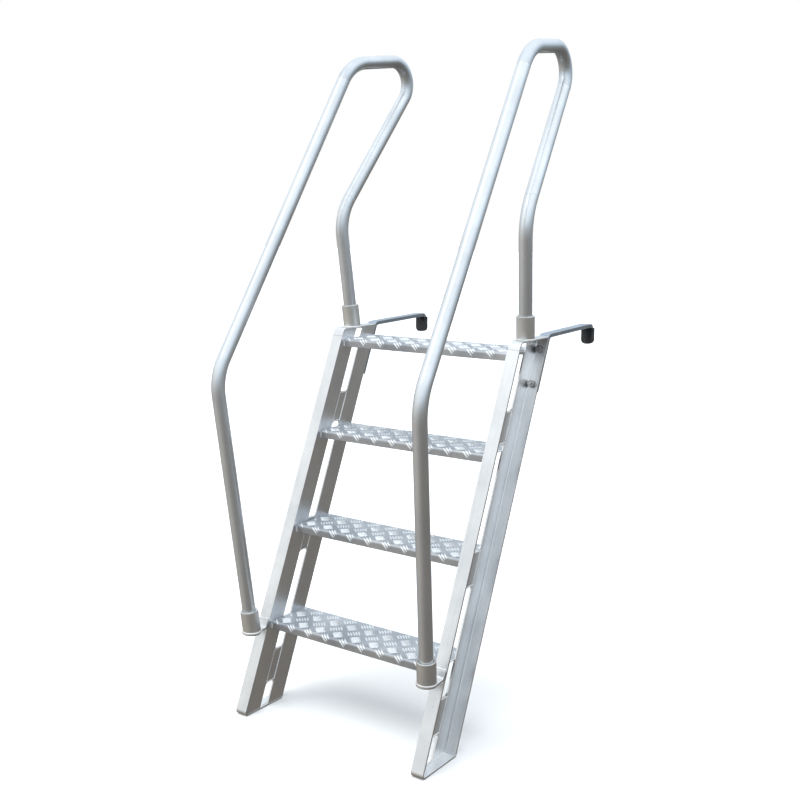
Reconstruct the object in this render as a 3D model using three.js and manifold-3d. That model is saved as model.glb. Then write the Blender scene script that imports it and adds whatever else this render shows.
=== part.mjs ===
// Boat boarding ladder: four chequered treads between two leaning side rails, a pair of hooks that hang
// over the bulwark, and two bent-tube handrails that plug into sockets and lift out.
// Millimetres. +X is to the climber's right, +Y is inboard (away from the climber) and +Z is up.
import * as THREE from "three";
import { mergeVertices } from "three/addons/utils/BufferGeometryUtils.js";
import Module from "manifold-3d";

const wasm = await Module();
wasm.setup();

// ---- Driving dimensions -------------------------------------------------------------------------
const GAP = 0.3;                    // between pieces that touch
const BEYOND = 2000;                // a cutting block's side, past everything it cuts
const WALL = 5;                     // rail, cap and foot thickness

const LADDER_HEIGHT = 1020;         // floor to the top of the rail caps
const CLEAR_WIDTH = 546;            // between the two rails
const LEAN = THREE.MathUtils.degToRad(23.65);
const RAIL_DEPTH = 140;             // square to the rail
const FLANGE = 36;                  // rail width, outwards from the web
const FRONT_LEG = 55;               // web leg of each angle, square to the rail
const REAR_LEG = 56;
const SPACERS = [[68, 153], [410, 495], [755, 836]];
const SPACER_RECESS = 1;

const TREAD_COUNT = 4;
const TREAD_PITCH = 250;
const LOWEST_TREAD = 240;
const TREAD_SETBACK = 12;           // behind the front face of the rails
const TREAD_THICK = 4;
const TREAD_LIP = 23;
const TREAD_BEND = 6;

const CAP_BEND = 16;                // bends are given at the middle of the plate
const FOOT_BEND = 8;
const CORNER_LIP = 22;              // lip of the caps and feet, along the front face

const HOOK_THICK = 10;
const HOOK_WIDE = 30;
const HOOK_TOP = 1026;               // at the knee
const HOOK_RISE = THREE.MathUtils.degToRad(1.5);     // of the arm, towards its tip
const HOOK_REACH = 865;             // middle of the hook's drop, back from the front of the feet
const HOOK_DROP_END = 979;
const HOOK_LEG_END = 877;
const HOOK_BEND = 15;
const HOOK_TIP_BEND = 13;
const SLEEVE_WALL = 2.5;
const SLEEVE_TOP = 1020;
const SLEEVE_END = 974;
const SLEEVE_ROUND = 13;

const BOLT_HEIGHTS = [895, 984];
const BOLT_RADIUS = 5;
const BOLT_HOLE = 5.5;
const HEX_RADIUS = 9.8;             // corner radius of the bolt head and nut
const HEAD_THICK = 6.4;
const NUT_THICK = 8;
const WASHER_RADIUS = 10;
const WASHER_THICK = 2;
const THREAD_END = 2.5;             // bolt end past the nut

const BRACKET_TOP = 228;
const BRACKET_THICK = 6;
const BRACKET_BEND = 15;
const BRACKET_LIP = 6;
const BRACKET_ROUND = 27;

const TUBE_RADIUS = 18;
const TUBE_WALL = 3;
const TUBE_SIDES = 16;
const SOCKET_RADIUS = 24.5;
const SOCKET_BORE = 19;
const SOCKET_SIDES = 32;
const UPPER_INSERT = 57;            // tube inside the upper socket
const LOWER_INSERT = 55;
const UPPER_SOCKET = 80;            // tube length before it is cut level with the cap
const LOWER_SOCKET = 77;

const POST_LEAN = THREE.MathUtils.degToRad(6.4);     // handrail posts, towards the climber
const POST_SPLAY = THREE.MathUtils.degToRad(2.4);    // and outwards
const LOWER_RIM = [290, 46, 288];   // middle of the lower socket's rim, on the right side

// Corners of a handrail in its own frame: the origin is on the lower rim, z runs up the front post, y is
// inboard, and x is outwards. The rear post is parallel to the front one.
const RAIL_BEND_CORNER = [0, 0, 648];
const BOW_FRONT_CORNER = [-64, 617, 1410];
const BOW_REAR_CORNER = [-97, 939, 1413];
const REAR_BEND_CORNER = [-30, 537, 996];
const UPPER_RIM = [-30, 537, 739];
const BEND_RADII = [150, 125, 63, 150];
const BEND_MARGIN = 1;              // a bend after a seam is this much tighter, so that it starts past the seam
const FIRST_STEP = 0.01;            // from a bend's own start to the end of its tube

const slope = Math.tan(LEAN);
const plan = 1 / Math.cos(LEAN);    // a length square to the rail, seen in plan
const railBack = RAIL_DEPTH * plan;

// ---- Materials ----------------------------------------------------------------------------------
const FINISHES = {
  rail: { color: 0xc9cdd0, roughness: 0.35, metalness: 0.9 },
  tread: { color: 0xb9c2c8, roughness: 0.4, metalness: 0.9 },
  tube: { color: 0xd7dde2, roughness: 0.3, metalness: 0.9 },
  socket: { color: 0x9a9b98, roughness: 0.45, metalness: 0.85 },
  hook: { color: 0x9fb0bb, roughness: 0.4, metalness: 0.9 },
  rubber: { color: 0x1e1f21, roughness: 0.7, metalness: 0 },
  steel: { color: 0x6f7073, roughness: 0.35, metalness: 1 },
};

function part(name, geometry, finish) {
  const mesh = new THREE.Mesh(geometry, new THREE.MeshStandardMaterial(FINISHES[finish]));
  mesh.name = name;
  return mesh;
}

// ---- Solids -------------------------------------------------------------------------------------
function solid(geometry) {
  const bare = geometry.clone();
  bare.deleteAttribute("normal");
  bare.deleteAttribute("uv");
  const merged = mergeVertices(bare, 1e-4);
  return new wasm.Manifold(new wasm.Mesh({
    numProp: 3,
    vertProperties: new Float32Array(merged.attributes.position.array),
    triVerts: new Uint32Array(merged.index.array),
  }));
}

function geometryOf(manifold) {
  const mesh = manifold.getMesh();
  const geometry = new THREE.BufferGeometry();
  geometry.setAttribute("position", new THREE.BufferAttribute(new Float32Array(mesh.vertProperties), 3));
  geometry.setIndex(new THREE.BufferAttribute(new Uint32Array(mesh.triVerts), 1));
  geometry.computeVertexNormals();
  return geometry;
}

function cut(geometry, ...tools) {
  return geometryOf(tools.reduce((body, tool) => body.subtract(solid(tool)), solid(geometry)));
}

function common(geometry, tool) {
  return geometryOf(solid(geometry).intersect(solid(tool)));
}

// ---- Outlines -----------------------------------------------------------------------------------
// Replaces each inner corner of a path by an arc that touches both of its sides.
function roundCorners(corners, radii, step = Math.PI / 18) {
  const stations = [{ point: corners[0], tangent: corners[1].clone().sub(corners[0]).normalize() }];
  for (let i = 1; i < corners.length - 1; i += 1) {
    const into = corners[i].clone().sub(corners[i - 1]).normalize();
    const out = corners[i + 1].clone().sub(corners[i]).normalize();
    const turn = Math.acos(into.dot(out));
    const reach = radii[i - 1] * Math.tan(turn / 2);
    const start = corners[i].clone().addScaledVector(into, -reach);
    const inward = out.clone().addScaledVector(into, -into.dot(out)).normalize();
    const count = Math.max(2, Math.ceil(turn / step));
    for (let k = 0; k <= count; k += 1) {
      const angle = (turn * k) / count;
      const point = start.clone()
        .addScaledVector(into, radii[i - 1] * Math.sin(angle))
        .addScaledVector(inward, radii[i - 1] * (1 - Math.cos(angle)));
      const tangent = into.clone().multiplyScalar(Math.cos(angle)).addScaledVector(inward, Math.sin(angle));
      stations.push({ point, tangent });
    }
  }
  const last = corners.length - 1;
  stations.push({ point: corners[last], tangent: corners[last].clone().sub(corners[last - 1]).normalize() });
  return stations;
}

// The path moved sideways by a distance, to its left when that is positive.
function beside(stations, distance) {
  return stations.map(({ point, tangent }) => new THREE.Vector2(
    point.x - tangent.y * distance,
    point.y + tangent.x * distance,
  ));
}

function bentStrip(corners, radii, thickness) {
  const stations = roundCorners(corners.map(([y, z]) => new THREE.Vector2(y, z)), radii);
  return new THREE.Shape([...beside(stations, thickness / 2), ...beside(stations, -thickness / 2).reverse()]);
}

// A side view, drawn in y and z, made solid from one x to another.
function acrossX(shape, from, to) {
  const geometry = new THREE.ExtrudeGeometry(shape, { depth: Math.abs(to - from), bevelEnabled: false });
  const turned = new THREE.Matrix4().makeBasis(
    new THREE.Vector3(0, 1, 0),
    new THREE.Vector3(0, 0, 1),
    new THREE.Vector3(1, 0, 0),
  );
  return geometry.applyMatrix4(turned).translate(Math.min(from, to), 0, 0);
}

// A plan view, drawn in x and y, made solid from one z to another and leaned back with the rails.
function alongRail(shape, from, to) {
  const lean = new THREE.Matrix4().makeShear(0, 0, 0, 0, 0, slope);
  const geometry = new THREE.ExtrudeGeometry(shape, { depth: to - from, bevelEnabled: false });
  return geometry.translate(0, 0, from).applyMatrix4(lean);
}

function polygon(points) {
  return new THREE.Shape(points.map(([x, y]) => new THREE.Vector2(x, y)));
}

// ---- Side rails ---------------------------------------------------------------------------------
// A corner plate lies flat on the end of a rail and bends over the front edge, flush with the flange.
function cornerPath(z, lipUp) {
  const into = WALL / 2;
  const level = lipUp ? z + into : z - into;
  const frontLine = (height) => slope * height + into * plan;
  const lipEnd = level + (lipUp ? 1 : -1) * CORNER_LIP * Math.cos(LEAN);
  const backEnd = slope * (level - into) + railBack;
  return [[frontLine(lipEnd), lipEnd], [frontLine(level), level], [backEnd, level]];
}

const capPath = cornerPath(LADDER_HEIGHT, false);
const footPath = cornerPath(0, true);

// Everything on the outer side of a corner plate, with the plate itself and the gap behind it.
function cornerCutter(path, radius, upwards) {
  const reach = 60;
  const [[lipY, lipZ], corner, [backY, backZ]] = path;
  const sign = upwards ? 1 : -1;
  const stretched = [[lipY - sign * slope * GAP, lipZ - sign * GAP], corner, [backY + reach, backZ]];
  const stations = roundCorners(stretched.map(([y, z]) => new THREE.Vector2(y, z)), [radius]);
  const inner = beside(stations, -sign * (WALL / 2 + GAP));
  const far = [
    [backY + reach, backZ + sign * reach],
    [corner[0] - reach, backZ + sign * reach],
    [lipY - reach, lipZ - sign * GAP + slope * reach],
  ];
  return new THREE.Shape([...inner, ...far.map(([y, z]) => new THREE.Vector2(y, z))]);
}

function railParts(side, tag) {
  const over = 30;
  const from = -over;
  const to = LADDER_HEIGHT + over;
  const skin = WALL * plan;
  const frontLeg = FRONT_LEG * plan;
  const rearLeg = railBack - REAR_LEG * plan;
  const cutters = [cornerCutter(capPath, CAP_BEND, true), cornerCutter(footPath, FOOT_BEND, false)];
  const tools = cutters.map((shape) => acrossX(shape, -side * over, side * (FLANGE + over)));
  const x = (values) => values.map(([across, back]) => [side * across, back]);
  const front = polygon(x([
    [0, 0], [FLANGE, 0], [FLANGE, skin], [WALL, skin], [WALL, frontLeg], [0, frontLeg],
  ]));
  const rear = polygon(x([
    [0, rearLeg], [WALL, rearLeg], [WALL, railBack - skin], [FLANGE, railBack - skin],
    [FLANGE, railBack], [0, railBack],
  ]));
  const strip = polygon(x([
    [SPACER_RECESS, frontLeg + GAP], [WALL, frontLeg + GAP],
    [WALL, rearLeg - GAP], [SPACER_RECESS, rearLeg - GAP],
  ]));
  const holes = BOLT_HEIGHTS.map((z) => boltHole(side, z));
  const plate = (path, radius) => acrossX(bentStrip(path, [radius], WALL), 0, side * FLANGE);
  return [
    part(`rail_front_angle_${tag}`, cut(alongRail(front, from, to), ...tools), "rail"),
    part(`rail_rear_angle_${tag}`, cut(alongRail(rear, from, to), ...tools, ...holes), "rail"),
    ...SPACERS.map(([low, high], i) => (
      part(`rail_spacer_${tag}_${i + 1}`, alongRail(strip, low, high), "rail"))),
    part(`top_cap_${tag}`, plate(capPath, CAP_BEND), "rail"),
    part(`foot_plate_${tag}`, plate(footPath, FOOT_BEND), "rail"),
  ];
}

// ---- Treads -------------------------------------------------------------------------------------
function tread(index) {
  const top = LOWEST_TREAD + TREAD_PITCH * index;
  const level = top - TREAD_THICK / 2;
  const front = slope * top + TREAD_SETBACK + TREAD_THICK / 2;
  const back = slope * top + railBack - TREAD_THICK / 2;
  const outline = bentStrip(
    [[front, top - TREAD_LIP], [front, level], [back, level], [back, top - TREAD_LIP]],
    [TREAD_BEND, TREAD_BEND],
    TREAD_THICK,
  );
  const half = CLEAR_WIDTH / 2 - GAP;
  return part(`tread_${index + 1}`, acrossX(outline, -half, half), "tread");
}

// ---- Hooks --------------------------------------------------------------------------------------
const hookLevel = HOOK_TOP - HOOK_THICK / 2;
const hookPath = [
  [slope * HOOK_LEG_END, HOOK_LEG_END],
  [slope * hookLevel, hookLevel],
].map(([y, z]) => [y + railBack + (HOOK_THICK / 2 + GAP) * plan, z]);
const armHeight = (y) => hookLevel + (y - hookPath[1][0]) * Math.tan(HOOK_RISE);
hookPath.push([HOOK_REACH, armHeight(HOOK_REACH)], [HOOK_REACH, HOOK_DROP_END]);

function boltFrame(side, z) {
  const place = new THREE.Matrix4().makeTranslation(side * FLANGE / 2, slope * z + railBack, z);
  return place.multiply(new THREE.Matrix4().makeRotationX(-LEAN));
}

function boltHole(side, z) {
  return new THREE.CylinderGeometry(BOLT_HOLE, BOLT_HOLE, 2 * FLANGE, 16).applyMatrix4(boltFrame(side, z));
}

function hexagon(hole) {
  const shape = new THREE.Shape();
  for (let i = 0; i < 6; i += 1) {
    const angle = (Math.PI / 3) * i;
    shape[i ? "lineTo" : "moveTo"](HEX_RADIUS * Math.cos(angle), HEX_RADIUS * Math.sin(angle));
  }
  if (hole) {
    shape.holes.push(new THREE.Path().absarc(0, 0, hole, 0, 2 * Math.PI, true));
  }
  return shape;
}

// A flat shape made solid along the bolt, from one distance behind the rail's rear face to another.
function alongBolt(shape, from, to) {
  const options = { depth: to - from, bevelEnabled: false, curveSegments: 8 };
  const geometry = new THREE.ExtrudeGeometry(shape, options);
  return geometry.rotateX(-Math.PI / 2).translate(0, from, 0);
}

function fastener(side, tag, z, number) {
  const group = new THREE.Group();
  group.position.set(side * FLANGE / 2, slope * z + railBack, z);
  group.rotation.x = -LEAN;
  const headFrom = HOOK_THICK + 2 * GAP;
  const washerTo = -WALL - GAP;
  const nutTo = washerTo - WASHER_THICK - GAP;
  const end = nutTo - NUT_THICK - THREAD_END;
  const shank = new THREE.CylinderGeometry(BOLT_RADIUS, BOLT_RADIUS, headFrom + 1 - end, 16);
  shank.translate(0, (headFrom + 1 + end) / 2, 0);
  const head = alongBolt(hexagon(0), headFrom, headFrom + HEAD_THICK);
  const washer = new THREE.Shape().absarc(0, 0, WASHER_RADIUS, 0, 2 * Math.PI);
  washer.holes.push(new THREE.Path().absarc(0, 0, BOLT_HOLE, 0, 2 * Math.PI, true));
  group.add(
    part(`hook_bolt_${tag}_${number}`, geometryOf(solid(head).add(solid(shank))), "steel"),
    part(`hook_washer_${tag}_${number}`, alongBolt(washer, washerTo - WASHER_THICK, washerTo), "steel"),
    part(`hook_nut_${tag}_${number}`, alongBolt(hexagon(BOLT_HOLE), nutTo - NUT_THICK, nutTo), "steel"),
  );
  return group;
}

function hookParts(side, tag) {
  const middle = side * FLANGE / 2;
  const across = (shape, half) => acrossX(shape, middle - half, middle + half);
  const bar = across(bentStrip(hookPath, [HOOK_BEND, HOOK_TIP_BEND], HOOK_THICK), HOOK_WIDE / 2);
  const halfWide = HOOK_WIDE / 2 + SLEEVE_WALL;
  const halfDeep = HOOK_THICK / 2 + SLEEVE_WALL;
  const face = new THREE.Shape();
  face.moveTo(halfWide, SLEEVE_TOP);
  face.lineTo(-halfWide, SLEEVE_TOP);
  face.lineTo(-halfWide, SLEEVE_END + SLEEVE_ROUND);
  face.absarc(-halfWide + SLEEVE_ROUND, SLEEVE_END + SLEEVE_ROUND, SLEEVE_ROUND, Math.PI, 1.5 * Math.PI);
  face.absarc(halfWide - SLEEVE_ROUND, SLEEVE_END + SLEEVE_ROUND, SLEEVE_ROUND, 1.5 * Math.PI, 2 * Math.PI);
  const options = { depth: 2 * halfDeep, bevelEnabled: false, curveSegments: 8 };
  const block = new THREE.ExtrudeGeometry(face, options);
  block.rotateX(Math.PI / 2).translate(middle, HOOK_REACH + halfDeep, 0);
  const armStart = HOOK_REACH - 3 * HOOK_TIP_BEND;
  const held = [[armStart, armHeight(armStart)], hookPath[2], [HOOK_REACH, HOOK_DROP_END - GAP]];
  const pocket = across(bentStrip(held, [HOOK_TIP_BEND], HOOK_THICK + 2 * GAP), HOOK_WIDE / 2 + GAP);
  return [
    part(`hook_bar_${tag}`, cut(bar, ...BOLT_HEIGHTS.map((z) => boltHole(side, z))), "hook"),
    part(`hook_sleeve_${tag}`, cut(block, pocket), "rubber"),
    ...BOLT_HEIGHTS.map((z, i) => fastener(side, tag, z, i + 1)),
  ];
}

// ---- Sockets ------------------------------------------------------------------------------------
// The handrail's frame, seen from the side's own origin on the inner face of the web.
function handrailFrame(side) {
  const frame = new THREE.Group();
  frame.position.set(side * (LOWER_RIM[0] - CLEAR_WIDTH / 2), LOWER_RIM[1], LOWER_RIM[2]);
  frame.rotation.set(POST_LEAN, side * POST_SPLAY, 0);
  frame.updateMatrix();
  return frame;
}

const mirror = (side, [x, y, z]) => new THREE.Vector3(side * x, y, z);

// A tube that stands under a rim and is cut level with the plate below it.
function socket(side, rim, length, plateTop) {
  const ring = new THREE.LatheGeometry([
    new THREE.Vector2(SOCKET_BORE, -length), new THREE.Vector2(SOCKET_RADIUS, -length),
    new THREE.Vector2(SOCKET_RADIUS, 0), new THREE.Vector2(SOCKET_BORE, 0),
    new THREE.Vector2(SOCKET_BORE, -length),
  ], SOCKET_SIDES);
  const centre = mirror(side, rim);
  ring.rotateX(Math.PI / 2).translate(centre.x, centre.y, centre.z);
  ring.applyMatrix4(handrailFrame(side).matrix);
  const below = new THREE.BoxGeometry(BEYOND, BEYOND, BEYOND);
  below.translate(0, 0, plateTop + GAP - BEYOND / 2);
  return cut(ring, below);
}

function socketParts(side, tag) {
  const frame = handrailFrame(side);
  const foot = new THREE.Vector3(0, 0, -LOWER_SOCKET).applyMatrix4(frame.matrix);
  const level = BRACKET_TOP - BRACKET_THICK / 2;
  const reach = (foot.z - level) / (foot.z - frame.position.z);
  const middle = foot.clone().lerp(frame.position, reach);
  const faceLine = (z) => slope * z - (BRACKET_THICK / 2 + GAP) * plan;
  const lipEnd = level + (BRACKET_LIP + BRACKET_BEND) * Math.cos(LEAN);
  const wide = BRACKET_ROUND + FLANGE;
  const strap = bentStrip(
    [[middle.y - 2 * BRACKET_ROUND, level], [faceLine(level), level], [faceLine(lipEnd), lipEnd]],
    [BRACKET_BEND],
    BRACKET_THICK,
  );
  const tongue = new THREE.Shape();
  const hip = middle.y + BRACKET_ROUND;
  const back = faceLine(lipEnd) + BRACKET_THICK;
  const inner = side > 0 ? 0 : -FLANGE;
  tongue.moveTo(inner + FLANGE, back);
  tongue.lineTo(inner, back);
  tongue.lineTo(inner, hip);
  tongue.lineTo(middle.x - BRACKET_ROUND, middle.y);
  tongue.absarc(middle.x, middle.y, BRACKET_ROUND, Math.PI, 2 * Math.PI);
  tongue.lineTo(inner + FLANGE, hip);
  const tall = 8 * BRACKET_ROUND;
  const outline = new THREE.ExtrudeGeometry(tongue, { depth: tall, bevelEnabled: false, curveSegments: 16 });
  outline.translate(0, 0, BRACKET_TOP - tall / 2);
  const bracket = common(acrossX(strap, -wide, wide), outline);
  return [
    part(`socket_bracket_${tag}`, bracket, "rail"),
    part(`lower_socket_${tag}`, socket(side, [0, 0, 0], LOWER_SOCKET, BRACKET_TOP), "socket"),
    part(`upper_socket_${tag}`, socket(side, UPPER_RIM, UPPER_SOCKET, LADDER_HEIGHT), "socket"),
  ];
}

// ---- Handrails ----------------------------------------------------------------------------------
// A route whose steps fall on chosen stations: few on the straights, close together round the bends.
class StationRoute extends THREE.Curve {
  constructor(stations) {
    super();
    this.stations = stations;
  }

  station(u) {
    return this.stations[Math.round(u * (this.stations.length - 1))];
  }

  getPoint(t, target = new THREE.Vector3()) {
    return target.copy(this.station(t).point);
  }

  getPointAt(u, target = new THREE.Vector3()) {
    return target.copy(this.station(u).point);
  }

  getTangentAt(u, target = new THREE.Vector3()) {
    return target.copy(this.station(u).tangent);
  }
}

function tube(stations) {
  const section = new THREE.Shape().absarc(0, 0, TUBE_RADIUS, 0, 2 * Math.PI);
  section.holes.push(new THREE.Path().absarc(0, 0, TUBE_RADIUS - TUBE_WALL, 0, 2 * Math.PI, true));
  return new THREE.ExtrudeGeometry(section, {
    extrudePath: new StationRoute(stations),
    steps: stations.length - 1,
    curveSegments: TUBE_SIDES / 2,
  });
}

// Where the straight between two corners meets the arc at its second corner.
function bendStart(before, corner, after, radius) {
  const into = corner.clone().sub(before).normalize();
  const out = after.clone().sub(corner).normalize();
  return corner.clone().addScaledVector(into, -radius * Math.tan(Math.acos(into.dot(out)) / 2));
}

function stepAlong(from, towards, distance) {
  return from.clone().addScaledVector(towards.clone().sub(from).normalize(), distance);
}

function handrailParts(side, tag) {
  const group = handrailFrame(side);
  const foot = mirror(side, [0, 0, -LOWER_INSERT]);
  const [bend, bowFront, bowRear, rearBend, rim] = [
    RAIL_BEND_CORNER, BOW_FRONT_CORNER, BOW_REAR_CORNER, REAR_BEND_CORNER, UPPER_RIM,
  ].map((corner) => mirror(side, corner));
  const rearFoot = rim.clone().add(new THREE.Vector3(0, 0, -UPPER_INSERT));
  const [bendRadius, frontRadius, rearRadius, postRadius] = BEND_RADII;
  const bowStart = bendStart(bend, bowFront, bowRear, frontRadius);
  const bowEnd = bendStart(rearBend, bowRear, bowFront, rearRadius);
  const postStart = bendStart(bowRear, rearBend, rim, postRadius);
  const round = (corners, radii) => roundCorners(corners, radii, Math.PI / 20);
  const front = round([foot, bend, bowStart], [bendRadius]);
  const bow = round([
    stepAlong(bowStart, bowFront, GAP), bowFront, bowRear, stepAlong(bowEnd, bowRear, FIRST_STEP),
  ], [frontRadius - BEND_MARGIN, rearRadius - BEND_MARGIN]);
  const run = [stepAlong(bowEnd, rearBend, GAP), stepAlong(postStart, bowEnd, GAP)];
  const runTangent = run[1].clone().sub(run[0]).normalize();
  const postFrom = stepAlong(postStart, bowEnd, FIRST_STEP);
  const post = round([postFrom, rearBend, rearFoot], [postRadius - BEND_MARGIN]);
  group.add(
    part(`handrail_front_tube_${tag}`, tube(front), "tube"),
    part(`handrail_bow_${tag}`, tube(bow), "tube"),
    part(`handrail_rear_run_${tag}`, tube(run.map((point) => ({ point, tangent: runTangent }))), "tube"),
    part(`handrail_rear_post_${tag}`, tube(post), "tube"),
  );
  return group;
}

// ---- Assembly -----------------------------------------------------------------------------------
const ladder = new THREE.Group();
for (let i = 0; i < TREAD_COUNT; i += 1) {
  ladder.add(tread(i));
}
for (const [side, tag] of [[-1, "left"], [1, "right"]]) {
  const half = new THREE.Group();
  half.position.x = side * CLEAR_WIDTH / 2;
  half.add(...railParts(side, tag), ...hookParts(side, tag), ...socketParts(side, tag));
  half.add(handrailParts(side, tag));
  ladder.add(half);
}

// The origin is under the middle of the whole ladder, on the floor.
const box = new THREE.Box3().setFromObject(ladder, true);
ladder.position.y = -(box.min.y + box.max.y) / 2;

export default ladder;
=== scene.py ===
"""Looks for a boat boarding ladder: four checker-plate treads between two leaning channel rails, hooks
that drop over a deck edge, and two bent-tube handrails that lift out of their sockets.
Everything is in metres in the row's frame: +X to the climber's right, +Y towards the boat, +Z up."""

import math

import bmesh
import bpy
from mathutils import Matrix, Vector


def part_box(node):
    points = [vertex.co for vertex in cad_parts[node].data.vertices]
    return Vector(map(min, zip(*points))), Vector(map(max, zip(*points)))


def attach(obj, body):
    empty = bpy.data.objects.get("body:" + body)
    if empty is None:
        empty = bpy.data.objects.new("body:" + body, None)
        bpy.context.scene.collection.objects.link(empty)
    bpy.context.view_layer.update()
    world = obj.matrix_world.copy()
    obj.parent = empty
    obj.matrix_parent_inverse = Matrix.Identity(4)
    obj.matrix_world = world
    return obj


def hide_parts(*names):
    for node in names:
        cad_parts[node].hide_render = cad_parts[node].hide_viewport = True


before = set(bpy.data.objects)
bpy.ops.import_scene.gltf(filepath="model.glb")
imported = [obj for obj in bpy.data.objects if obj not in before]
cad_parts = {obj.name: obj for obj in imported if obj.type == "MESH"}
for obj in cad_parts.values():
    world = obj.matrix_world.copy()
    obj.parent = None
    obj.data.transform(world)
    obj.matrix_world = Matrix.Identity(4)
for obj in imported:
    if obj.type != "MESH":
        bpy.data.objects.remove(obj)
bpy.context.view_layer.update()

SIDES = {"right": 1, "left": -1}
LEAN = math.radians(23.65)          # of the side rails, towards the boat
SLOPE = math.tan(LEAN)
PLAN = 1 / math.cos(LEAN)           # a length square to the rail, seen in plan
RAIL_DEPTH = 0.140
WALL = 0.005
FLANGE = 0.036
GAP = 0.0003                        # between pieces that touch
TUBE_RADIUS = 0.018


# ---- Driving places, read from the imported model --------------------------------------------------
TREADS = [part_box(f"tread_{number}") for number in (1, 2, 3, 4)]
HALF_CLEAR = TREADS[0][1].x         # half of the clear width
FLOOR_FRONT = TREADS[0][1].y - SLOPE * TREADS[0][1].z - RAIL_DEPTH * PLAN
WEB_INSIDE = HALF_CLEAR + GAP       # x of the web's face towards the treads


def rail_front(z):
    """y of the rails' front face at a height."""
    return FLOOR_FRONT + SLOPE * z


def rail_back(z):
    """y of the rails' rear face at a height."""
    return rail_front(z) + RAIL_DEPTH * PLAN


# ---- Materials -----------------------------------------------------------------------------------
class Finish:
    """A material under construction, with short ways to add and join its nodes."""

    def __init__(self, name):
        self.material = bpy.data.materials.new(name)
        self.material.use_nodes = True
        self.nodes = self.material.node_tree.nodes
        self.links = self.material.node_tree.links
        self.shader = self.nodes["Principled BSDF"]

    def node(self, kind, **inputs):
        made = self.nodes.new(kind)
        for socket, value in inputs.items():
            made.inputs[socket.replace("_", " ")].default_value = value
        return made

    def join(self, source, target):
        self.links.new(source, target)

    def set(self, **inputs):
        for socket, value in inputs.items():
            self.shader.inputs[socket.replace("_", " ")].default_value = value

    def coordinates(self, scale, turn=0.0, source="Object"):
        """Texture coordinates, turned about X so that Z runs along a leaning piece, then scaled."""
        place = self.node("ShaderNodeTexCoord")
        turned = self.nodes.new("ShaderNodeMapping")
        turned.inputs["Rotation"].default_value = (turn, 0, 0)
        self.join(place.outputs[source], turned.inputs["Vector"])
        scaled = self.nodes.new("ShaderNodeMapping")
        scaled.inputs["Scale"].default_value = scale
        self.join(turned.outputs["Vector"], scaled.inputs["Vector"])
        return scaled.outputs["Vector"]

    def noise(self, vector, scale=1.0, detail=3.0, roughness=0.5):
        made = self.node("ShaderNodeTexNoise", Scale=scale, Detail=detail, Roughness=roughness)
        self.join(vector, made.inputs["Vector"])
        return made.outputs["Fac"]

    def ramp(self, factor, *stops):
        """A colour ramp with (position, colour) stops; a single number stands for a grey."""
        made = self.nodes.new("ShaderNodeValToRGB")
        elements = made.color_ramp.elements
        while len(elements) < len(stops):
            elements.new(1.0)
        for element, (position, colour) in zip(elements, stops):
            element.position = position
            grey = isinstance(colour, (int, float))
            element.color = (colour, colour, colour, 1) if grey else (*colour, 1)
        self.join(factor, made.inputs["Fac"])
        return made.outputs["Color"]

    def blend(self, factor, first, second, mode="MIX"):
        """Mixes two colours, each a socket or a colour, by a socket or a number."""
        made = self.nodes.new("ShaderNodeMix")
        made.data_type = "RGBA"
        made.blend_type = mode
        for index, value in ((0, factor), (6, first), (7, second)):
            if hasattr(value, "is_linked"):
                self.join(value, made.inputs[index])
            else:
                made.inputs[index].default_value = value if index == 0 else (*value, 1)
        return made.outputs[2]

    def bump(self, height, distance, strength=1.0, under=None):
        made = self.node("ShaderNodeBump", Strength=strength, Distance=distance)
        self.join(height, made.inputs["Height"])
        if under is not None:
            self.join(under, made.inputs["Normal"])
        return made.outputs["Normal"]


def metal(name, pale, dark, roughness, grain, turn=0.0, source="Object", scratch=0.35, wave=0.0006,
          metallic=1.0):
    """Worked metal: drawn grain along the piece, cloudy oxide, fine pits and small dark nicks. grain is
    the fineness of the lines along each axis, scratch their strength, wave the depth of the unevenness."""
    finish = Finish(name)
    lines = finish.noise(finish.coordinates(grain, turn, source), detail=4.0, roughness=0.65)
    clouds = finish.noise(finish.coordinates((1, 1, 1)), scale=9.0, detail=4.0, roughness=0.6)
    specks = finish.noise(finish.coordinates((1, 1, 1)), scale=420.0, detail=2.0)
    tone = finish.ramp(clouds, (0.30, dark), (0.68, pale))
    streaks = finish.ramp(lines, (0.30, 0.80), (0.60, 1.0))
    colour = finish.blend(scratch, tone, finish.blend(1.0, tone, streaks, "MULTIPLY"))
    nicks = finish.ramp(finish.noise(finish.coordinates((1, 1, 1)), scale=120.0, detail=1.5),
                        (0.70, 1.0), (0.76, 0.88))
    colour = finish.blend(1.0, colour, nicks, "MULTIPLY")
    finish.join(colour, finish.shader.inputs["Base Color"])
    worn = finish.ramp(clouds, (0.25, roughness + 0.10), (0.75, roughness - 0.06))
    drawn = finish.ramp(lines, (0.25, roughness + 0.12), (0.70, roughness - 0.08))
    finish.join(finish.blend(0.5, worn, drawn), finish.shader.inputs["Roughness"])
    coarse = finish.bump(clouds, wave, 0.35)
    fine = finish.bump(lines, 0.00006, 0.6, coarse)
    finish.join(finish.bump(specks, 0.00004, 0.35, fine), finish.shader.inputs["Normal"])
    finish.set(Metallic=metallic)
    return finish.material


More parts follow.
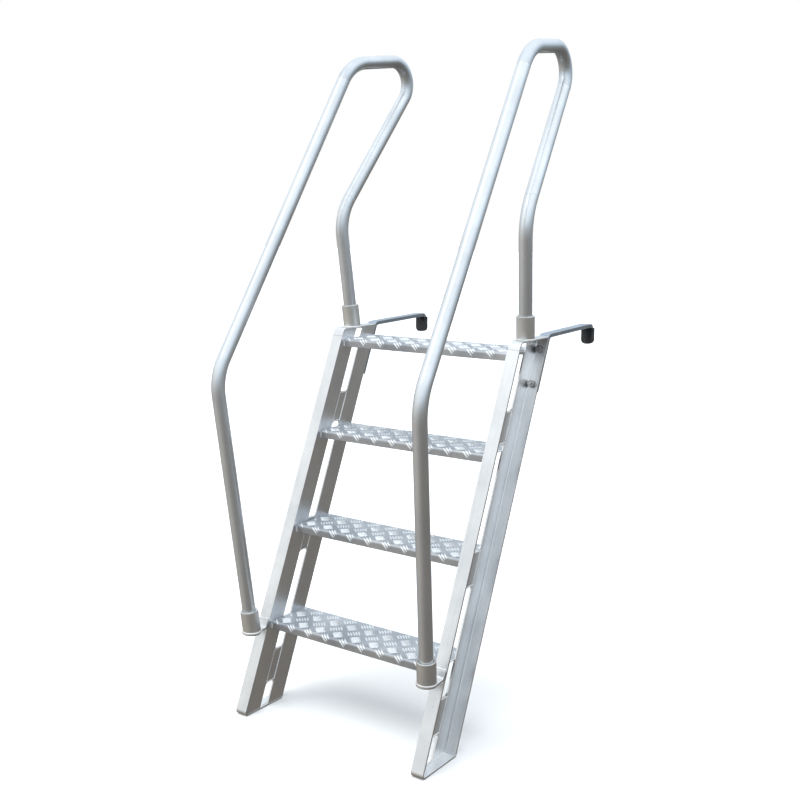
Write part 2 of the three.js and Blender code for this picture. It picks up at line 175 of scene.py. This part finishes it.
def rubber():
    """Moulded black rubber, softly mottled and dusty."""
    finish = Finish("moulded_rubber")
    dust = finish.noise(finish.coordinates((1, 1, 1)), scale=60.0, detail=5.0, roughness=0.6)
    grain = finish.noise(finish.coordinates((1, 1, 1)), scale=900.0, detail=2.0)
    finish.join(finish.ramp(dust, (0.35, (0.008, 0.008, 0.009)), (0.75, (0.020, 0.021, 0.023))),
                finish.shader.inputs["Base Color"])
    finish.join(finish.ramp(dust, (0.3, 0.42), (0.7, 0.60)), finish.shader.inputs["Roughness"])
    finish.join(finish.bump(grain, 0.00015, 0.6), finish.shader.inputs["Normal"])
    return finish.material


RAIL_GRAIN = (520, 520, 5)
TREAD_GRAIN = (6, 420, 420)
SOCKET_GRAIN = (300, 300, 12)
HOOK_GRAIN = (420, 6, 420)
EVEN_GRAIN = (300, 300, 300)
STEEL_GRAIN = (500, 500, 500)
TUBE_LOOK = {"grain": (90, 3, 1), "source": "UV", "scratch": 0.12, "wave": 0.0002}
FINISHES = {
    "rail_aluminium": metal("mill_rail", (0.90, 0.91, 0.92), (0.76, 0.77, 0.79), 0.32, RAIL_GRAIN, LEAN),
    "tread_plate": metal("checker_plate", (0.66, 0.68, 0.71), (0.43, 0.46, 0.50), 0.38, TREAD_GRAIN),
    "tube": metal("drawn_tube", (0.84, 0.87, 0.90), (0.72, 0.75, 0.78), 0.34, **TUBE_LOOK),
    "socket": metal("socket_tube", (0.86, 0.86, 0.84), (0.70, 0.70, 0.69), 0.42, SOCKET_GRAIN),
    "hook_bar": metal("hook_bar", (0.52, 0.58, 0.66), (0.36, 0.42, 0.50), 0.38, HOOK_GRAIN),
    "fastener_steel": metal("plain_steel", (0.56, 0.55, 0.54), (0.34, 0.34, 0.35), 0.26, STEEL_GRAIN),
    "rubber": rubber(),
}
# Painted shade: the bows wear a darker copy of the tube metal, which stands in for the shading they show.
SHADED_BOW_METAL = metal("shaded_bow_tube", (0.76, 0.80, 0.84), (0.60, 0.64, 0.68), 0.36, **TUBE_LOOK)
WELD = metal("weld_metal", (0.97, 0.97, 0.96), (0.70, 0.70, 0.70), 0.34, EVEN_GRAIN, metallic=0.75)
# Partly wear and partly painted glint: the raised bars are coloured near white, paler than the plate, for
# worn polished tops and for the bright glint they catch.
PATTERN_METAL = metal("worn_bars_painted_glint", (0.98, 0.99, 1.00), (0.86, 0.90, 0.94), 0.26, EVEN_GRAIN,
                      metallic=0.8)


# ---- Making pieces -------------------------------------------------------------------------------
def place(name, mesh, slot, body, nodes=(), material=None, sharp=40.0):
    """Turns a mesh into a named piece that rides on a body and stands for CAD nodes."""
    for polygon in mesh.polygons:
        polygon.use_smooth = True
    mesh.set_sharp_from_angle(angle=math.radians(sharp))
    mesh.materials.append(material or FINISHES[slot])
    piece = bpy.data.objects.new(name, mesh)
    bpy.context.scene.collection.objects.link(piece)
    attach(piece, body)
    if nodes:
        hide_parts(*nodes)
    return piece


def softened(name, node, slot, radius, steps=2, body="ladder", fillet=None):
    """A copy of a CAD node with its true edges rounded over and, if asked, its inner corners filled."""
    work = bmesh.new()
    work.from_mesh(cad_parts[node].data)
    bmesh.ops.remove_doubles(work, verts=work.verts, dist=1e-6)
    bmesh.ops.dissolve_limit(work, angle_limit=math.radians(1), verts=work.verts, edges=work.edges)

    def corners(convex):
        return [edge for edge in work.edges if edge.is_manifold and edge.is_convex == convex
                and edge.calc_face_angle() > math.radians(28)]

    for convex, reach in ((False, fillet or radius), (True, radius)):
        bmesh.ops.bevel(work, geom=corners(convex), offset=reach, segments=steps, profile=0.5,
                        affect="EDGES", clamp_overlap=True)
    mesh = bpy.data.meshes.new(name)
    work.to_mesh(mesh)
    work.free()
    piece = place(name, mesh, slot, body, (node,))
    weighted = piece.modifiers.new("flat_faces", "WEIGHTED_NORMAL")
    weighted.keep_sharp = True
    return piece


def rounded_path(corners, radii, step=math.radians(3)):
    """Points and tangents along straight runs joined by arcs."""
    points = [Vector(corner) for corner in corners]
    stations = [(points[0], (points[1] - points[0]).normalized())]
    for before, corner, after, radius in zip(points, points[1:], points[2:], radii):
        into, out = (corner - before).normalized(), (after - corner).normalized()
        turn = into.angle(out)
        start = corner - into * radius * math.tan(turn / 2)
        inward = (out - into * into.dot(out)).normalized()
        count = max(2, math.ceil(turn / step))
        for index in range(count + 1):
            angle = turn * index / count
            stations.append((start + into * radius * math.sin(angle)
                             + inward * radius * (1 - math.cos(angle)),
                             into * math.cos(angle) + inward * math.sin(angle)))
    stations.append((points[-1], (points[-1] - points[-2]).normalized()))
    return stations


def swept(name, stations, rings, sides=48, side=Vector((1, 0, 0)), closed=False):
    """A round section carried along a path. rings lists pairs of a radius, or one for each station, and
    whether the path is walked backwards: one pair for a bead, or outer then inner for a tube."""
    points, faces = [], []
    loops = []
    across = side
    travel = 0.0
    distance = [0.0]
    for (before, _), (after, _) in zip(stations, stations[1:]):
        travel += (after - before).length
        distance.append(travel)
    frames = []
    for point, tangent in stations:
        across = (across - tangent * across.dot(tangent)).normalized()
        frames.append((point, across, tangent.cross(across)))
    for radii, backwards in rings:
        order = range(len(stations))
        for index in (reversed(order) if backwards else order):
            point, u, v = frames[index]
            radius = radii[index] if hasattr(radii, "__len__") else radii
            loops.append((len(points), distance[index]))
            for step in range(sides):
                angle = 2 * math.pi * step / sides
                points.append(point + u * radius * math.cos(angle) + v * radius * math.sin(angle))
    pairs = list(zip(loops, loops[1:]))
    if closed or len(rings) > 1:
        pairs.append((loops[-1], loops[0]))
    marks = []
    for (first, low), (second, high) in pairs:
        for step in range(sides):
            after = (step + 1) % sides
            faces.append((first + step, first + after, second + after, second + step))
            marks.append(((step, low), (step + 1, low), (step + 1, high), (step, high)))
    if len(rings) == 1 and not closed:
        for start, _ in (loops[0], loops[-1]):
            faces.append(tuple(range(start, start + sides)))
            marks.append(tuple((step, distance[0]) for step in range(sides)))
    mesh = bpy.data.meshes.new(name)
    mesh.from_pydata([tuple(point) for point in points], [], faces)
    layer = mesh.uv_layers.new(name="skin")
    girth = 2 * math.pi * TUBE_RADIUS / sides
    flat = [value for corner in marks for step, along in corner for value in (step * girth, along)]
    layer.data.foreach_set("uv", flat)
    work = bmesh.new()
    work.from_mesh(mesh)
    bmesh.ops.recalc_face_normals(work, faces=work.faces)
    work.to_mesh(mesh)
    work.free()
    return mesh


BEAD_STEP = 0.0009                  # between a bead's sections


def bead(name, points, radius, closed=False, ripple=0.0035, body="ladder", slot="rail_aluminium"):
    """A weld bead along a line, with the small overlapping ripples of a hand-run weld."""
    line = [Vector(point) for point in points]
    if closed:
        line.append(line[0])
    fine = [line[0]]
    for before, after in zip(line, line[1:]):
        count = max(1, math.ceil((after - before).length / BEAD_STEP))
        fine += [before.lerp(after, index / count) for index in range(1, count + 1)]
    if closed:
        fine.pop()
    last = len(fine) - 1
    stations, travel, radii = [], 0.0, []
    for index, point in enumerate(fine):
        before = fine[index - 1] if closed else fine[max(index - 1, 0)]
        after = fine[(index + 1) % len(fine)] if closed else fine[min(index + 1, last)]
        stations.append((point, (after - before).normalized()))
        travel += (point - fine[index - 1]).length if index else 0.0
        wave = abs(math.sin(math.pi * travel / ripple)) + 0.3 * math.sin(travel * 171.0)
        radii.append(radius * (0.86 + 0.16 * wave))
    if not closed:
        radii[0] *= 0.4
        radii[-1] *= 0.4
    start = stations[0][1]
    side = Vector((0, 0, 1)) if abs(start.z) < 0.9 else Vector((1, 0, 0))
    mesh = swept(name, stations, [(radii, False)], sides=10, side=side, closed=closed)
    return place(name, mesh, slot, body, (), WELD, sharp=80)


# ---- Rails ---------------------------------------------------------------------------------------
FRONT_LEG = 0.055 * PLAN            # web leg of the front angle, seen in plan
REAR_LEG = 0.056 * PLAN
CAP_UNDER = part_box("top_cap_right")[1].z - WALL
FOOT_TOP = WALL
ROUNDING = {"rail": 0.0009, "corner": 0.0012, "spacer": 0.0006, "inner": 0.0045}
BEAD = {"slot_side": 0.0018, "slot_end": 0.0022, "rail_end": 0.0026, "tread_under": 0.0028,
        "tread_edge": 0.0024, "socket": 0.0026, "bracket_lip": 0.0034, "bracket_under": 0.0026}
FILL_INSET = 0.0004                 # of the slot's weld metal from either face of the web
SLOT_SINK = 0.0005                  # of that metal into the web's edge
SEAM_HALF = 0.0018                  # half the height of a ground seam, on average
SEAM_SLANT = 0.0002
SEAM_INSET = 0.0006                 # of a ground seam from the sides of the flange
SEAM_PROUD = 0.0002
SEAM_DEEP = 0.0006
SPACER_RECESS = 0.0012              # of a spacer from the web's inner face
SPACER_LAP = 0.001                  # of the slot's end beads over a spacer
END_CLEAR = 0.008                   # from a rail's front and rear faces to its end beads


def slab(name, outline, x, thick):
    """A flat piece in the plane of the web: an outline of (behind the front face, height), made thick."""
    count = len(outline)
    points = [(x + reach, rail_front(z) + inset, z) for reach in (0, thick) for inset, z in outline]
    faces = [tuple(range(count)), tuple(range(2 * count - 1, count - 1, -1))]
    faces += [(i, (i + 1) % count, (i + 1) % count + count, i + count) for i in range(count)]
    mesh = bpy.data.meshes.new(name)
    mesh.from_pydata(points, [], faces)
    work = bmesh.new()
    work.from_mesh(mesh)
    bmesh.ops.recalc_face_normals(work, faces=work.faces)
    work.to_mesh(mesh)
    work.free()
    place(name, mesh, "rail_aluminium", "ladder")


def slot_corner(name, x, thick, inset, across, z, along, radius=0.012):
    """Weld metal that rounds one corner of a slot."""
    arc = [(inset + across * radius * (1 - math.sin(a)), z + along * radius * (1 - math.cos(a)))
           for a in (math.pi * index / 16 for index in range(9))]
    slab(name, [(inset, z), *arc], x, thick)


def leaning_bead(name, x, inset, low, high, radius):
    """A bead up the rail, at a distance behind its front face."""
    bead(name, [(x, rail_front(z) + inset, z) for z in (low, high)], radius)


for tag, side in SIDES.items():
    for word in ("front", "rear"):
        softened(f"{word}_angle_{tag}", f"rail_{word}_angle_{tag}", "rail_aluminium", ROUNDING["rail"], 3,
                 fillet=ROUNDING["inner"])
    softened(f"cap_plate_{tag}", f"top_cap_{tag}", "rail_aluminium", ROUNDING["corner"])
    softened(f"sole_plate_{tag}", f"foot_plate_{tag}", "rail_aluminium", ROUNDING["corner"])
    for number in (1, 2, 3):
        node = f"rail_spacer_{tag}_{number}"
        softened(f"spacer_{tag}_{number}", node, "rail_aluminium", ROUNDING["spacer"])
        low, high = (corner.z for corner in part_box(node))
        front, back = FRONT_LEG, RAIL_DEPTH * PLAN - REAR_LEG
        ends = (("low", low + SPACER_LAP, -1), ("high", high - SPACER_LAP, 1))
        for face, x in (("inside", WEB_INSIDE + SPACER_RECESS), ("outside", WEB_INSIDE + WALL)):
            for edge, inset in (("front", front), ("back", back)):
                leaning_bead(f"weld_{node}_{face}_{edge}", side * x, inset, low, high, BEAD["slot_side"])
            for word, z, _ in ends:
                bead(f"weld_{node}_{face}_{word}", [(side * x, rail_front(z) + front, z),
                                                    (side * x, rail_front(z) + back, z)],
                     BEAD["slot_end"])
        for word, z, along in ends:
            for edge, inset, across in (("front", front - SLOT_SINK, 1), ("back", back + SLOT_SINK, -1)):
                slot_corner(f"fill_{node}_{word}_{edge}", side * (WEB_INSIDE + FILL_INSET),
                            side * (WALL - 2 * FILL_INSET), inset, across, z, along)
    for word, z in (("foot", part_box(f"foot_plate_{tag}")[1].z), ("cap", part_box(f"top_cap_{tag}")[0].z)):
        low, high = z - SEAM_HALF, z + SEAM_HALF
        strip = [(-SEAM_PROUD, low + SEAM_SLANT), (SEAM_DEEP, low - SEAM_SLANT),
                 (SEAM_DEEP, high + SEAM_SLANT), (-SEAM_PROUD, high - SEAM_SLANT)]
        slab(f"ground_weld_{word}_{tag}", strip, side * (WEB_INSIDE + SEAM_INSET),
             side * (FLANGE - 2 * SEAM_INSET))
    for word, z in (("foot", FOOT_TOP), ("cap", CAP_UNDER)):
        bead(f"weld_{word}_{tag}", [(side * (WEB_INSIDE + WALL), rail_front(z) + END_CLEAR, z),
                                    (side * (WEB_INSIDE + WALL), rail_back(z) - END_CLEAR, z)],
             BEAD["rail_end"])


# ---- Hooks and their bolts -----------------------------------------------------------------------
def helix(centre, axis, radius, pitch, length):
    """Points round a screw thread, 24 to a turn."""
    u = Vector((1, 0, 0))
    v = axis.cross(u)
    steps = int(24 * length / pitch)
    turns = [index * math.pi / 12 for index in range(steps + 1)]
    return [centre + axis * length * index / steps + (u * math.cos(turn) + v * math.sin(turn)) * radius
            for index, turn in enumerate(turns)]


INTO_RAIL = Vector((0, -math.cos(LEAN), math.sin(LEAN)))
BOLT_RADIUS = 0.005
THREAD_PITCH = 0.0015
THREAD_LENGTH = 0.0068
THREAD_RIDGE = 0.00045
for tag, side in SIDES.items():
    softened(f"hook_{tag}", f"hook_bar_{tag}", "hook_bar", 0.0014, 3)
    softened(f"sleeve_{tag}", f"hook_sleeve_{tag}", "rubber", 0.0022, 4)
    for number in (1, 2):
        softened(f"bolt_{tag}_{number}", f"hook_bolt_{tag}_{number}", "fastener_steel", 0.0007, 2)
        softened(f"nut_{tag}_{number}", f"hook_nut_{tag}_{number}", "fastener_steel", 0.0009, 2)
        softened(f"washer_{tag}_{number}", f"hook_washer_{tag}_{number}", "fastener_steel", 0.0003, 2)
        low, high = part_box(f"hook_nut_{tag}_{number}")
        middle = (low + high) / 2
        points = helix(middle, INTO_RAIL, BOLT_RADIUS - 0.0001, THREAD_PITCH, THREAD_LENGTH)
        stations = [(point, (after - point).normalized()) for point, after in zip(points, points[1:])]
        mesh = swept(f"thread_{tag}_{number}", stations, [(THREAD_RIDGE, False)], sides=6)
        place(f"thread_{tag}_{number}", mesh, "fastener_steel", "ladder", sharp=80)


# ---- Treads --------------------------------------------------------------------------------------
TREAD_BEND = 0.008                  # outside radius of a tread's bends
TREAD_THICK = 0.004
UNDER_CLEAR = 0.01                  # from a tread's front and rear to the bead under it
LIP_SINK = 0.0006                   # of a lip's bead into the lip
LIP_CLEAR = 0.001                   # from a lip's lower edge to its bead
PATTERN_PITCH = 0.060               # between groups of bars that run the same way
BAR_LENGTH = 0.028
BAR_WIDTH = 0.0055
BAR_RISE = 0.0013
BAR_SPACING = 0.0072
BARS = 5


class TreadSkin:
    """The outer skin of a tread, unrolled: x across, s from its rear edge over the front bend and down."""

    def __init__(self, low, high):
        self.low, self.high = low, high
        self.flat = high.y - low.y - TREAD_BEND
        self.bend = TREAD_BEND * math.pi / 2
        self.length = self.flat + self.bend + (high.z - low.z - TREAD_BEND)

    def point(self, x, s, rise):
        """The place a height above the skin."""
        if s <= self.flat:
            return Vector((x, self.high.y - s, self.high.z + rise))
        centre_y, centre_z = self.low.y + TREAD_BEND, self.high.z - TREAD_BEND
        if s <= self.flat + self.bend:
            angle = (s - self.flat) / TREAD_BEND
            reach = TREAD_BEND + rise
            return Vector((x, centre_y - reach * math.sin(angle), centre_z + reach * math.cos(angle)))
        return Vector((x, self.low.y - rise, centre_z - (s - self.flat - self.bend)))


def bar(skin, x, s, direction):
    """One raised bar: a lens in plan and a low arch across, bent with the skin under it."""
    stops, arch = 10, 5
    points, faces = [], []
    for stop in range(stops + 1):
        along = -1 + 2 * stop / stops
        swell = max(1 - along * along, 0.0) ** 0.55
        for index in range(arch + 1):
            side = -1 + 2 * index / arch
            rise = BAR_RISE * min(1.0, 1.25 * swell) * (1 - side ** 4)
            reach, offset = along * BAR_LENGTH / 2, side * swell * BAR_WIDTH / 2
            across = x + (reach + direction * offset) * math.sqrt(0.5)
            down = s + (direction * reach - offset) * math.sqrt(0.5)
            points.append(skin.point(across, down, rise - 0.0001))
    for stop in range(stops):
        for index in range(arch):
            first = stop * (arch + 1) + index
            faces.append((first, first + 1, first + arch + 2, first + arch + 1))
    return points, faces


def pattern(number, low, high):
    """All the raised bars of one tread: groups of five, turned alternately, in staggered rows."""
    skin = TreadSkin(low, high)
    points, faces = [], []
    edge = BAR_LENGTH * 0.36
    rows = int(skin.length / (PATTERN_PITCH / 2)) + 2
    columns = int(high.x / PATTERN_PITCH) + 2
    for row in range(rows):
        direction = 1 if row % 2 else -1
        for column in range(-columns, columns + 1):
            centre_x = (column + 0.5 * (row % 2)) * PATTERN_PITCH
            centre_s = (row - 0.15) * PATTERN_PITCH / 2
            for index in range(BARS):
                step = (index - (BARS - 1) / 2) * BAR_SPACING
                x = centre_x + step * math.sqrt(0.5) * direction * -1
                s = centre_s + step * math.sqrt(0.5)
                if abs(x) > high.x - edge or not edge < s < skin.length - edge:
                    continue
                more, sheets = bar(skin, x, s, direction)
                faces += [tuple(index + len(points) for index in sheet) for sheet in sheets]
                points += more
    mesh = bpy.data.meshes.new(f"tread_pattern_{number}")
    mesh.from_pydata([tuple(point) for point in points], [], faces)
    return place(f"tread_pattern_{number}", mesh, "tread_plate", "ladder", (), PATTERN_METAL, sharp=70)


for number, (low, high) in enumerate(TREADS, 1):
    softened(f"tread_plate_{number}", f"tread_{number}", "tread_plate", 0.0008)
    pattern(number, low, high)
    under = high.z - TREAD_THICK
    for tag, side in SIDES.items():
        end = side * high.x
        bead(f"weld_tread_{number}_{tag}_under", [(end, low.y + UNDER_CLEAR, under),
                                                  (end, high.y - UNDER_CLEAR, under)],
             BEAD["tread_under"])
        for word, y in (("lip", low.y + LIP_SINK), ("rear", high.y - LIP_SINK)):
            bead(f"weld_tread_{number}_{tag}_{word}", [(end, y, low.z + LIP_CLEAR),
                                                       (end, y, high.z - TREAD_BEND)],
                 BEAD["tread_edge"])


# ---- Handrails -----------------------------------------------------------------------------------
TUBE_WALL = 0.003
POST_LEAN = math.radians(6.4)
POST_SPLAY = math.radians(2.4)
LOWER_RIM = Vector((0.290, 0.046 + FLOOR_FRONT, 0.288))
RAIL_BEND = (0, 0, 0.648)           # corners in the handrail's own frame, z up the front post
BOW_FRONT = (-0.064, 0.617, 1.410)
BOW_REAR = (-0.097, 0.939, 1.413)
REAR_BEND = (-0.030, 0.537, 0.996)
UPPER_RIM = (-0.030, 0.537, 0.739)
BEND_RADII = (0.150, 0.125, 0.063, 0.150)
LOWER_INSERT = 0.055
UPPER_INSERT = 0.057


def handrail_frame(side):
    """From the handrail's own frame to the row's."""
    turn = Matrix.Rotation(POST_LEAN, 4, "X") @ Matrix.Rotation(side * POST_SPLAY, 4, "Y")
    return Matrix.Translation((side * LOWER_RIM.x, LOWER_RIM.y, LOWER_RIM.z)) @ turn


def tube(name, stations, body, node, material=None):
    outer, inner = TUBE_RADIUS, TUBE_RADIUS - TUBE_WALL
    mesh = swept(name, stations, [(outer, False), (inner, True)], sides=56)
    return place(name, mesh, "tube", body, (node,), material)


def bend_start(before, corner, after, radius):
    """Where the straight before a corner meets its arc."""
    into, out = (corner - before).normalized(), (after - corner).normalized()
    return corner - into * radius * math.tan(into.angle(out) / 2)


def ring(centre, axis, radius, count=48):
    """Points round a circle."""
    u = axis.orthogonal().normalized()
    v = axis.cross(u)
    return [centre + (u * math.cos(a) + v * math.sin(a)) * radius
            for a in (2 * math.pi * index / count for index in range(count))]


BRACKET_TOP = 0.228
CAP_TOP = CAP_UNDER + WALL
SOCKET_RADIUS = 0.0245
BRACKET_STANDOFF = 0.0012           # of the bracket's beads from the flange
BRACKET_CLEAR = 0.002               # and from the sides of the flange
BEND_MARGIN = 0.0005                # a bend after a seam is this much tighter, to start past it
SEAM_SINK = 0.0003                  # of a seam's middle line into the tube
SEAM_BEAD = 0.0008


def foot_ring(centre, axis, plate):
    """Where the outside of a leaning socket meets a level plate."""
    return [point - axis * ((point.z - plate) / axis.z) for point in ring(centre, axis, SOCKET_RADIUS)]


for tag, side in SIDES.items():
    to_row = handrail_frame(side)

    def corner(point, to_row=to_row, side=side):
        return to_row @ Vector((side * point[0], point[1], point[2]))

    post = to_row.to_3x3() @ Vector((0, 0, 1))
    for word, rim, plate in (("lower", (0, 0, 0), BRACKET_TOP), ("upper", UPPER_RIM, CAP_TOP)):
        softened(f"socket_{word}_{tag}", f"{word}_socket_{tag}", "socket", 0.0012, 3)
        bead(f"weld_socket_{word}_{tag}", foot_ring(corner(rim), post, plate), BEAD["socket"], closed=True,
             slot="socket")
    softened(f"bracket_plate_{tag}", f"socket_bracket_{tag}", "rail_aluminium", 0.0014, 3)
    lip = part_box(f"socket_bracket_{tag}")[1].z
    for word, z in (("lip", lip), ("under", BRACKET_TOP - 2 * WALL)):
        y = rail_front(z) - BRACKET_STANDOFF
        bead(f"weld_bracket_{word}_{tag}", [(side * (WEB_INSIDE + BRACKET_CLEAR), y, z),
                                            (side * (WEB_INSIDE + FLANGE - BRACKET_CLEAR), y, z)],
             BEAD[f"bracket_{word}"])
    foot = corner((0, 0, -LOWER_INSERT))
    rear_foot = corner((UPPER_RIM[0], UPPER_RIM[1], UPPER_RIM[2] - UPPER_INSERT))
    bend, bow_front, bow_rear, rear_bend = (corner(p) for p in (RAIL_BEND, BOW_FRONT, BOW_REAR, REAR_BEND))
    bow_start = bend_start(bend, bow_front, bow_rear, BEND_RADII[1])
    bow_end = bend_start(rear_bend, bow_rear, bow_front, BEND_RADII[2])
    post_start = bend_start(bow_rear, rear_bend, rear_foot, BEND_RADII[3])
    body = f"handrail_{tag}"
    tube(f"front_tube_{tag}", rounded_path([foot, bend, bow_start], BEND_RADII[:1]), body,
         f"handrail_front_tube_{tag}")
    tube(f"bow_{tag}", rounded_path([bow_start, bow_front, bow_rear, bow_end],
                                    (BEND_RADII[1] - BEND_MARGIN, BEND_RADII[2] - BEND_MARGIN)), body,
         f"handrail_bow_{tag}", SHADED_BOW_METAL)
    tube(f"rear_run_{tag}", rounded_path([bow_end, post_start], ()), body, f"handrail_rear_run_{tag}")
    tube(f"rear_post_{tag}", rounded_path([post_start, rear_bend, rear_foot],
                                          (BEND_RADII[3] - BEND_MARGIN,)), body,
         f"handrail_rear_post_{tag}")
    seams = {"bow_front": (bow_start, bow_front - bend), "bow_rear": (bow_end, bow_rear - rear_bend),
             "rear_bend": (post_start, rear_bend - bow_rear)}
    for word, (centre, direction) in seams.items():
        bead(f"seam_{word}_{tag}", ring(centre, direction.normalized(), TUBE_RADIUS - SEAM_SINK), SEAM_BEAD,
             closed=True, ripple=0.003, body=body, slot="tube")


# ---- Camera, floor and light ---------------------------------------------------------------------
CAMERA_PLACE = (1.69346, FLOOR_FRONT - 2.01442, 1.35134)
CAMERA_AZIMUTH = math.radians(35.708)
CAMERA_PITCH = math.radians(9.757)
CAMERA_LENS = 49.43                 # on a 36 mm sensor

camera = bpy.data.objects.new("camera", bpy.data.cameras.new("camera"))
camera.data.lens = CAMERA_LENS
camera.data.sensor_width = 36
camera.location = CAMERA_PLACE
camera.rotation_euler = (math.pi / 2 - CAMERA_PITCH, 0, CAMERA_AZIMUTH)
camera.data.clip_end = 100
bpy.context.scene.collection.objects.link(camera)
bpy.context.scene.camera = camera
bpy.context.scene.view_settings.view_transform = "Standard"

FLOOR_REACH = 30.0
FLOOR_DROP = 0.0005                 # below the feet


def floor_finish():
    finish = Finish("pale_floor")
    soft = finish.noise(finish.coordinates((1, 1, 1)), scale=0.6, detail=2.0)
    finish.join(finish.ramp(soft, (0.3, 0.90), (0.7, 0.92)), finish.shader.inputs["Base Color"])
    finish.set(Roughness=0.9)
    return finish.material


floor_mesh = bpy.data.meshes.new("floor")
floor_mesh.from_pydata([(x * FLOOR_REACH, y * FLOOR_REACH, -FLOOR_DROP)
                        for x, y in ((-1, -1), (1, -1), (1, 1), (-1, 1))], [], [(0, 1, 2, 3)])
floor_mesh.materials.append(floor_finish())
floor = bpy.data.objects.new("floor", floor_mesh)
floor.visible_glossy = False
bpy.context.scene.collection.objects.link(floor)


def surroundings():
    """A white room to the camera; to the metal, a bright sky, brightest before the ladder's left side, and
    a darker ground."""
    world = bpy.data.worlds.new("surroundings")
    world.use_nodes = True
    nodes, links = world.node_tree.nodes, world.node_tree.links
    nodes.clear()
    direction = nodes.new("ShaderNodeTexCoord").outputs["Generated"]
    parts = nodes.new("ShaderNodeSeparateXYZ")
    links.new(direction, parts.inputs[0])
    height = nodes.new("ShaderNodeMapRange")
    height.inputs["From Min"].default_value = -1
    links.new(parts.outputs["Z"], height.inputs["Value"])

    def gradient(*stops):
        ramp = nodes.new("ShaderNodeValToRGB")
        elements = ramp.color_ramp.elements
        while len(elements) < len(stops):
            elements.new(1.0)
        for element, (position, colour) in zip(elements, stops):
            element.position = position
            element.color = (*colour, 1)
        links.new(height.outputs["Result"], ramp.inputs["Fac"])
        return ramp.outputs["Color"]

    behind = gradient((0.0, (0.15, 0.135, 0.12)), (0.42, (0.20, 0.185, 0.165)), (0.50, (0.28, 0.29, 0.29)),
                      (0.57, (0.44, 0.51, 0.57)), (0.64, (0.74, 0.87, 0.98)), (0.80, (1.16, 1.22, 1.27)),
                      (1.0, (1.16, 1.24, 1.30)))
    before = gradient((0.0, (0.30, 0.27, 0.24)), (0.42, (0.58, 0.55, 0.51)), (0.50, (0.64, 0.64, 0.62)),
                      (0.66, (1.06, 1.08, 1.07)), (0.74, (1.05, 1.08, 1.08)),
                      (0.85, (0.70, 0.74, 0.78)), (1.0, (1.16, 1.22, 1.28)))
    facing = nodes.new("ShaderNodeVectorMath")
    facing.operation = "DOT_PRODUCT"
    facing.inputs[1].default_value = (-0.75, -0.66, 0)
    links.new(direction, facing.inputs[0])
    share = nodes.new("ShaderNodeMapRange")
    share.inputs["From Min"].default_value = -1
    links.new(facing.outputs["Value"], share.inputs["Value"])
    narrowed = nodes.new("ShaderNodeMath")
    narrowed.operation = "POWER"
    narrowed.inputs[1].default_value = 3
    links.new(share.outputs["Result"], narrowed.inputs[0])
    both = nodes.new("ShaderNodeMix")
    both.data_type = "RGBA"
    links.new(narrowed.outputs[0], both.inputs[0])
    links.new(behind, both.inputs[6])
    links.new(before, both.inputs[7])
    around = nodes.new("ShaderNodeBackground")
    links.new(both.outputs[2], around.inputs["Color"])
    seen = nodes.new("ShaderNodeBackground")
    seen.inputs["Color"].default_value = (1, 1, 1, 1)
    path = nodes.new("ShaderNodeLightPath")
    mix = nodes.new("ShaderNodeMixShader")
    links.new(path.outputs["Is Camera Ray"], mix.inputs[0])
    links.new(around.outputs[0], mix.inputs[1])
    links.new(seen.outputs[0], mix.inputs[2])
    links.new(mix.outputs[0], nodes.new("ShaderNodeOutputWorld").inputs["Surface"])
    bpy.context.scene.world = world


surroundings()


def light_from(name, kind, place_at, aim_at, power, **extent):
    light = bpy.data.objects.new(name, bpy.data.lights.new(name, kind))
    light.data.energy = power
    for key, value in extent.items():
        setattr(light.data, key, value)
    light.location = place_at
    light.rotation_euler = (Vector(aim_at) - Vector(place_at)).to_track_quat("-Z", "Y").to_euler()
    bpy.context.scene.collection.objects.link(light)
    return light


overhead = light_from("overhead", "SUN", (-0.8, -1.0, 4.6), (0, 0, 0), 1.9, angle=math.radians(50))
overhead.visible_glossy = False     # lights the floor; the metal shows the sky instead
light_from("key", "AREA", (-1.2, -2.4, 4.6), (0, 0, 0.9), 14, size=2.2)
